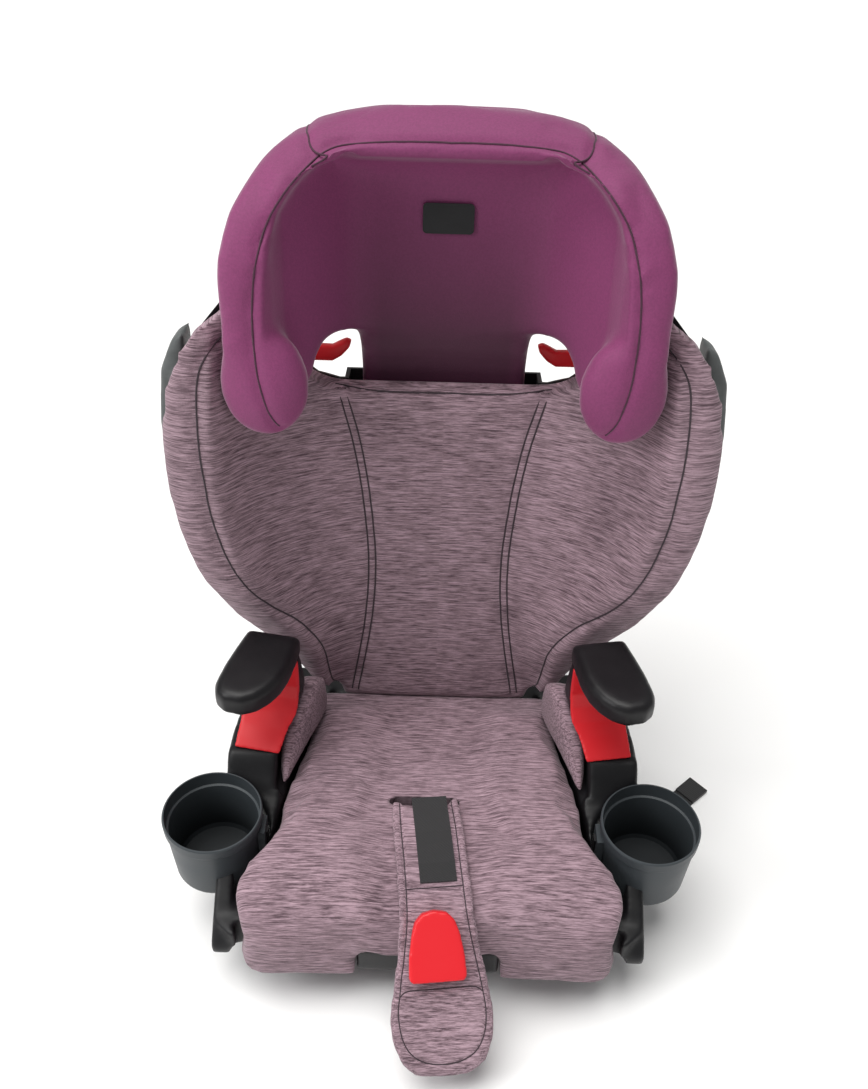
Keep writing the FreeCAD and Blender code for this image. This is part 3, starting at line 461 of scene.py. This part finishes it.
def curve_through(points, step):
    """Points evenly spaced by about step on a smooth line through the given ones."""
    pts = np.array(points, float)
    ends = np.vstack([2 * pts[0] - pts[1], pts, 2 * pts[-1] - pts[-2]])
    fine = []
    for i in range(1, len(ends) - 2):
        a, b, c, d = ends[i - 1:i + 3]
        for t in np.linspace(0, 1, 16, endpoint=False):
            fine.append(0.5 * (2 * b + (c - a) * t + (2 * a - 5 * b + 4 * c - d) * t * t
                               + (3 * b - 3 * c + d - a) * t ** 3))
    fine = np.array(fine + [pts[-1]])
    run = np.concatenate([[0], np.cumsum(np.linalg.norm(np.diff(fine, axis=0), axis=1))])
    count = max(2, int(run[-1] / step))
    where = np.linspace(0, run[-1], count)
    return np.stack([np.interp(where, run, fine[:, k]) for k in range(pts.shape[1])], axis=1)


def both(points):
    """A line and its mirror image."""
    return [points, [(-x, *rest) for x, *rest in points]]


def laid_on(skin, line, start, towards):
    """Points of a line dropped onto a surface. start turns a line point into where its ray begins."""
    found = []
    for p in line:
        hit = skin.ray_cast(start(*p), towards)[0]
        if hit is not None:
            found.append(hit)
    return found


def dented(mesh, lines, depth, width, pucker=0.0, pitch=0.006):
    """Pulls the surface in along sewn lines, with small gathers beside them."""
    points = [Vector(p) for line in lines for p in line]
    tree = kdtree.KDTree(len(points))
    for i, p in enumerate(points):
        tree.insert(p, i)
    tree.balance()
    co = coords(mesh)
    reach = width * 3
    for i, vertex in enumerate(mesh.vertices):
        near, index, gap = tree.find(vertex.co)
        if gap > reach:
            continue
        pull = depth * math.exp(-(gap / width) ** 2)
        if pucker:
            wave = noise.noise(Vector(near) / pitch)
            pull += pucker * wave * math.exp(-gap / (width * 1.6)) * min(1, gap / (width * 0.3))
        co[i] -= np.array(vertex.normal) * pull
    place(mesh, co)
    return mesh


def tube(points, radius, sides=2):
    """A thin round line along points, as a mesh."""
    data = bpy.data.curves.new("line", "CURVE")
    data.dimensions = "3D"
    data.bevel_depth, data.bevel_resolution = radius, sides
    data.use_fill_caps = True
    run = data.splines.new("POLY")
    run.points.add(len(points) - 1)
    for knot, p in zip(run.points, points):
        knot.co = (*p, 1)
    thing = bpy.data.objects.new("line", data)
    scene.collection.objects.link(thing)
    bpy.context.view_layer.update()
    mesh = bpy.data.meshes.new_from_object(thing.evaluated_get(bpy.context.evaluated_depsgraph_get()))
    bpy.data.objects.remove(thing)
    return mesh


def joined(meshes):
    bm = bmesh.new()
    for mesh in meshes:
        bm.from_mesh(mesh)
    return finished(bm)


def eased(line, rounds=6):
    """A line with its small kinks smoothed out."""
    run = np.array([tuple(v) for v in line])
    for _ in range(rounds):
        run[1:-1] = (run[:-2] + 2 * run[1:-1] + run[2:]) / 4
    return [Vector(v) for v in run]


def weave_map(mesh, lay):
    """A UV map of metres along and across the cloth. lay turns points into those two."""
    along, up = lay(coords(mesh))
    corner = np.empty(len(mesh.loops), np.int32)
    mesh.loops.foreach_get("vertex_index", corner)
    layer = mesh.uv_layers.new(name="weave")
    layer.data.foreach_set("uv", np.stack([along[corner], up[corner]], axis=1).ravel().astype(np.float32))
    return mesh


def threads(name, lines, radius, paint, body):
    return piece(name, joined([tube(line, radius) for line in lines if len(line) > 1]), paint, body)


# ---------------------------------------------------------------- soft goods
DARK, MIDDLE, LIGHT = (0.085, 0.050, 0.064), (0.200, 0.130, 0.155), (0.330, 0.225, 0.265)


def make_paints():
    return {
        "seat": melange_knit("melange_seat", (34, 560, 560), DARK, MIDDLE, LIGHT),
        "back": melange_knit("melange_back", (34, 560, 1), DARK, MIDDLE, LIGHT, "weave"),
        "purple": hood_knit("mulberry_knit", (0.240, 0.038, 0.140), (0.030, 0.003, 0.014)),
        "thread": smooth_knit("dark_thread", (0.035, 0.02, 0.028)),
        "plum_thread": smooth_knit("plum_thread", (0.06, 0.012, 0.035)),
        "strap": webbing("black_strap", (0.006, 0.006, 0.007), "Y"),
        "black": moulded("black_base", (0.006, 0.006, 0.007), 0.42),
        "arm": moulded("black_arm", (0.0055, 0.005, 0.006), 0.36, 1100.0, 0.4),
        "shell": moulded("black_shell", (0.014, 0.014, 0.015), 0.5),
        "red": moulded("signal_red", (0.72, 0.020, 0.028), 0.33, 900.0, 0.10, 1.0),
        "cup": cup_plastic("slate_cup", (0.044, 0.052, 0.058)),
        "guard": moulded("grey_guard", (0.085, 0.092, 0.092), 0.5),
        "steel": steel("brushed_steel"),
        "badge": moulded("badge_face", (0.010, 0.010, 0.011), 0.3),
    }


def make_cushion(p):
    low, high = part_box("seat_cover")
    tuck = grown_box((-0.121, 0.121), (0.055, high[1] + 0.008), (low[2] + 0.060, 0.1145))
    mesh = remeshed(joined([from_nodes(["seat_foam", "seat_cover"]), tuck]), 0.005, 12)

    def hold(co):
        beside = np.maximum(np.abs(co[:, 0] + 0.002) - 0.040, 0) / 0.03
        return np.clip(beside, 0, 1) * np.clip((0.085 - co[:, 1]) / 0.02, 0, 1)
    mesh = subdivided(swollen(mesh, 4.0, 0.009, hold))
    co = coords(mesh)
    co[:, 0] *= 1 + 0.045 * np.clip((co[:, 1] + 0.10) / 0.04, 0, 1)
    place(mesh, co)
    weave_map(mesh, lambda co: (co[:, 0], co[:, 1] + np.minimum(co[:, 2] - 0.118, 0)))
    cushion = piece("seat_cushion", mesh, p["back"], "base", ["seat_foam", "seat_cover"])
    for side in ("left", "right"):
        fin = remeshed(from_nodes(["hip_bolster_" + side]), 0.004, 22)
        fin = subdivided(swollen(fin, 3.0, 0.004))
        pad = piece("hip_pad_" + side, fin, p["seat"], "base", ["hip_bolster_" + side])


# seam depth, seam width, size of the gathers and their pitch, metres
RIM_DENT, INNER_DENT, HEM_DENT = (0.0030, 0.007, 0.0011, 0.005), (0.0016, 0.0035, 0.0005, 0.006), (
    0.0016, 0.0040, 0.0014, 0.0045)
HEAD_DENT, FLAP_DENT = (0.0024, 0.006, 0.0003, 0.008), (0.0012, 0.0022, 0.0004, 0.004)
SEAM_THREAD, FLAP_THREAD = 0.0009, 0.0006       # radius of the thread lines
RIM_SEAM = [(109, 14), (113, 50), (118, 86), (137, 123), (165, 153), (189, 188), (208, 242), (214, 306),
            (216, 363), (212, 404), (199, 425), (180, 436), (163, 425)]
INNER_SEAM = [(88, 4), (78, 60), (71, 111), (68, 172), (73, 241), (83, 306), (98, 362)]
TOP_HEM = [(-104, 361), (-60, 357), (0, 356), (60, 357), (104, 361)]


def make_back(p):
    shape = joined([from_nodes(["back_foam", "back_cover"]), block((-103, 103), (4, 26), (-12, 14))])
    mesh = remeshed(shape, 0.005, 14)

    def hold(co):
        flat = upright(co)
        return np.clip((12 - flat[:, 1] + np.abs(flat[:, 0]) * 0.02) / 8, 0, 1)
    mesh = subdivided(swollen(mesh, 4.0, 0.005, hold))
    skin = surface(mesh)

    def start(x, s):
        return lean(x, -300, s)
    hem = laid_on(skin, curve_through(TOP_HEM, 3), start, BACKWARDS)
    rims = [laid_on(skin, curve_through(line, 3), start, BACKWARDS) for line in both(RIM_SEAM)]
    inner = []
    for offset in (-3.5, 3.5):
        for line in both([(x + offset, s) for x, s in INNER_SEAM]):
            inner.append(laid_on(skin, curve_through(line, 3), start, BACKWARDS))
    dented(mesh, rims, *RIM_DENT)
    dented(mesh, inner, *INNER_DENT)
    dented(mesh, [hem], *HEM_DENT)
    skin = surface(mesh)

    def lay(co):
        flat = upright(co) * MM
        across = np.hypot(flat[:, 0], np.minimum(flat[:, 1], 0)) * np.sign(flat[:, 0])
        fan = np.clip(np.abs(flat[:, 0]) - 0.07, 0, 1) ** 2
        return across, flat[:, 2] + fan * 0.9 * np.sign(0.28 - flat[:, 2]) * np.abs(0.28 - flat[:, 2]) / 0.28
    weave_map(mesh, lay)
    cover = piece("back_padding", mesh, p["back"], "backrest", ["back_foam", "back_cover"])
    lines = [eased([skin.find_nearest(v)[0] for v in line]) for line in rims + inner + [hem]]
    threads("back_seams", lines, SEAM_THREAD, p["thread"], "backrest")


HEAD_SEAM = [(0, 592), (40, 592), (79, 590), (104, 584), (127, 565), (148, 533), (158, 496), (162, 453),
             (159, 409), (150, 372), (143, 358)]
CROSS_SEAM = [(104, -66, 580), (112, -56, 593), (121, -42, 604), (128, -22, 612), (132, 2, 614),
              (133, 30, 606)]
LOBE_MIDDLE, LOBE_HALF = (157, -85, 394), (46, 29, 56)      # rounded lower end of each side, back frame


def make_headrest(p):
    """Hood, lobes and neck as one padded form, hollow only where the child's head goes."""
    shape = joined([
        from_nodes(["headrest_foam", "headrest_cover"]),
        block((-82, 82), (28.4, 45.5), (228, 425)),
        block((-82, 82), (18, 42), (388, 430)),
        block((-62, 62), (20, 42), (420, 612)),
        ball(LOBE_MIDDLE, LOBE_HALF),
        ball((-LOBE_MIDDLE[0], *LOBE_MIDDLE[1:]), LOBE_HALF),
    ])
    mesh = remeshed(shape, 0.005, 30)

    def hold(co):
        flat = upright(co)
        hollow = np.clip((586 - flat[:, 2]) / 12, 0, 1) * np.clip((152 - np.abs(flat[:, 0])) / 12, 0, 1)
        hollow *= np.clip((flat[:, 1] + 95) / 15, 0, 1)
        return np.clip((28 - flat[:, 1]) / 10, 0, 1) * np.clip((flat[:, 2] - 400) / 60, 0.4, 1) * (1 - hollow)

    def lobes(co):
        flat = upright(co)
        return np.clip((440 - flat[:, 2]) / 40, 0, 1) * np.clip((np.abs(flat[:, 0]) - 96) / 12, 0, 1)
    relaxed(mesh, 45, lobes)
    mesh = subdivided(swollen(mesh, 4.0, 0.006, hold))
    co = coords(mesh)
    settle = 0.005 * np.clip((upright(co)[:, 2] - 380) / 40, 0, 1)
    place(mesh, co - settle[:, None] * np.array(UPWARDS.normalized()))
    skin = surface(mesh)

    def ahead(x, s):
        return lean(x, -300, s)

    lines = [laid_on(skin, curve_through(line, 3), ahead, BACKWARDS) for line in both(HEAD_SEAM)]
    for way in (1, -1):
        run = [lean(way * x, y, up) for x, y, up in CROSS_SEAM]
        steps = [a.lerp(b, i / 8) for a, b in zip(run, run[1:]) for i in range(8)]
        lines.append(eased([skin.find_nearest(v)[0] for v in steps]))
    dented(mesh, lines, *HEAD_DENT)
    skin = surface(mesh)
    pad = piece("headrest_padding", mesh, p["purple"], "headrest",
                ["headrest_foam", "headrest_cover", "neck_sleeve"])
    threads("headrest_seams", [eased([skin.find_nearest(v)[0] for v in line]) for line in lines], SEAM_THREAD,
            p["plum_thread"], "headrest")


FLAP_ROOT_Y, FLAP_X, FLAP_SKEW = -66.0, -7.0, math.radians(6.5)
FLAP_SEAM = [(-25, -69), (-26, -100), (-26, -150), (-27, -190), (-31, -215), (-37, -240), (-39.5, -256),
             (-37, -269), (-30, -279), (-17, -285), (0, -287)]
FLAP_CROSS = [(-26, -168), (26, -168)]
FLAP_LOWER = [(-37, -243), (-30, -240), (0, -240), (30, -240), (37, -243)]


def make_flap(p):
    mesh = remeshed(from_nodes(["flap_pad", "flap_binding"]), 0.0025, 12)

    def hold(co):
        return np.clip((-0.170 - co[:, 1]) / 0.015, 0, 1)
    mesh = subdivided(swollen(mesh, 3.0, 0.002, hold))
    skin = surface(mesh)
    c, s = math.cos(FLAP_SKEW), math.sin(FLAP_SKEW)

    def above(x, y):
        y = y - FLAP_ROOT_Y
        return Vector((FLAP_X + x * c - y * s, FLAP_ROOT_Y + x * s + y * c, 400)) * MM
    outline = FLAP_SEAM + [(-x, y) for x, y in reversed(FLAP_SEAM[:-1])]
    lines = [laid_on(skin, curve_through(line, 2), above, Vector((0, 0, -1)))
             for line in (outline, FLAP_CROSS, FLAP_LOWER)]
    dented(mesh, lines, *FLAP_DENT)
    skin = surface(mesh)
    pad = piece("flap_padding", mesh, p["seat"], "crotch_flap", ["flap_pad", "flap_binding"])
    threads("flap_seams", [eased([skin.find_nearest(v)[0] for v in line], 3) for line in lines], FLAP_THREAD,
            p["thread"], "crotch_flap")


def rounded(name, node, voxel, rounds, paint, body):
    """A moulded piece with its corners eased, in place of its plain node."""
    return piece(name, remeshed(from_nodes([node]), voxel, rounds), paint, body, [node])


def make_moulded(p):
    for side in ("left", "right"):
        rounded("arm_pad_" + side, "armrest_pad_" + side, 0.0025, 10, p["arm"], "base")
        rounded("arm_pillar_" + side, "armrest_pillar_" + side, 0.0025, 8, p["arm"], "base")
        rounded("belt_saddle_" + side, "lap_belt_guide_" + side, 0.0015, 10, p["red"], "base")
        rounded("belt_loop_" + side, "shoulder_belt_guide_" + side, 0.0015, 8, p["red"], "headrest")
        rounded("wing_guard_" + side, "side_guard_" + side, 0.003, 12, p["guard"], "backrest")
    rounded("flap_clip", "belt_clip", 0.0015, 8, p["red"], "crotch_flap")


LOOP_MIDDLE, LOOP_TILT, LOOP_RISE = 0.100, 0.6, 0.006       # the loops' free ends stand a little higher


def tilt_loops():
    for side in ("left", "right"):
        mesh = bpy.data.objects["belt_loop_" + side].data
        co = coords(mesh)
        rise = np.clip((LOOP_MIDDLE - np.abs(co[:, 0])) * LOOP_TILT, -LOOP_RISE, LOOP_RISE)
        place(mesh, co + rise[:, None] * np.array(UPWARDS.normalized()))


def make_hood_shell(p):
    """The hood's rear shell, drawn in under the padding at its sides and top."""
    shell = from_nodes(["headrest_shell"])
    flat = upright(coords(shell))
    high = np.clip((flat[:, 2] - 520) / 60, 0, 1)
    flat[:, 0] *= 1 - 0.035 * np.clip((flat[:, 2] - 480) / 30, 0, 1)
    flat[:, 2] -= high * 12
    place(shell, [lean(*row) for row in flat])
    hood = piece("hood_shell", shell, p["shell"], "headrest", ["headrest_shell"])
    for face in hood.data.polygons:
        face.use_smooth = False


LIP = ((-0.067, 0.067), (-0.197, -0.150), (0.047, 0.083))
FILL = [((-0.157, 0.157), (-0.160, 0.158), (0.012, 0.083)), ((0.150, 0.202), (-0.036, 0.040), (0.006, 0.083)),
        ((0.150, 0.192), (0.030, 0.100), (0.006, 0.083)), ((0.150, 0.178), (0.090, 0.146), (0.006, 0.080)),
        ((0.163, 0.199), (-0.028, 0.060), (0.078, 0.144)), ((0.163, 0.194), (0.055, 0.098), (0.078, 0.106))]
FIN = [(-126, 110), (-150, 95), (-170, 82), (-184, 70), (-189, 62), (-187, 54), (-178, 48), (-164, 44),
       (-150, 46), (-142, 62), (-136, 86)]
FIN_INNER, FIN_OUTER = 0.188, 0.2055


def make_base(p):
    """The base's moulding, solid behind its skin, with easy corners and a lip in the cushion's arch."""
    parts = [from_nodes(["base_shell"]), grown_box(*LIP)]
    for x, y, z in FILL:
        parts.append(grown_box(x, y, z))
        if x[0] > 0:
            parts.append(grown_box((-x[1], -x[0]), y, z))
    for x0, x1 in ((FIN_INNER, FIN_OUTER), (-FIN_OUTER, -FIN_INNER)):
        parts.append(slab(FIN, x0, x1))
    mesh = remeshed(joined(parts), 0.003, 7)
    piece("base_moulding", mesh, p["black"], "base", ["base_shell"])


def slab(outline, x0, x1):
    """A slab between two x, over a side outline of (y, z) in mm."""
    bm = bmesh.new()
    ring = [bm.verts.new((x0, y * MM, z * MM)) for y, z in outline]
    made = bmesh.ops.extrude_face_region(bm, geom=[bm.faces.new(ring)])
    moved = [v for v in made["geom"] if isinstance(v, bmesh.types.BMVert)]
    bmesh.ops.translate(bm, vec=(x1 - x0, 0, 0), verts=moved)
    bmesh.ops.recalc_face_normals(bm, faces=bm.faces)
    return finished(bm)


def make_rigid(p):
    """Materials of the moulded and metal pieces."""
    finish = {
        "base_shell": "black", "base_tray": "black", "base_screws": "steel", "anchor_bar": "steel",
        "crotch_strap": "strap", "pivot_rod": "steel", "rod_caps": "shell", "pull_strap": "strap",
        "flap_webbing": "strap", "belt_clip": "red", "clip_plate": "shell", "clip_rivets": "steel",
        "back_shell": "shell", "height_rail": "shell", "rear_cover": "shell", "back_screws": "steel",
        "pivot_hooks": "shell", "headrest_shell": "shell", "headrest_stem": "shell", "badge": "badge",
        "guide_screws": "steel", "adjuster_handle": "red", "pull_rod": "steel", "lock_bolt": "steel",
        "adjuster_spring": "steel",
    }
    paired = {
        "armrest_pad": "arm", "armrest_pillar": "arm", "lap_belt_guide": "red", "cup_holder": "cup",
        "cup_bracket": "shell", "latch_housing": "shell", "latch_button": "red", "latch_jaw": "steel",
        "latch_pin": "steel", "latch_webbing": "strap", "side_guard": "guard", "shoulder_belt_guide": "red",
    }
    for name, kind in paired.items():
        finish[name + "_left"] = finish[name + "_right"] = kind
    for name, kind in finish.items():
        for place_in in nodes[name].material_slots:
            place_in.material = p[kind]


paints = make_paints()
add_camera()
add_studio()
make_rigid(paints)
make_cushion(paints)
make_back(paints)
make_headrest(paints)
make_flap(paints)
make_moulded(paints)
tilt_loops()
make_hood_shell(paints)
make_base(paints)
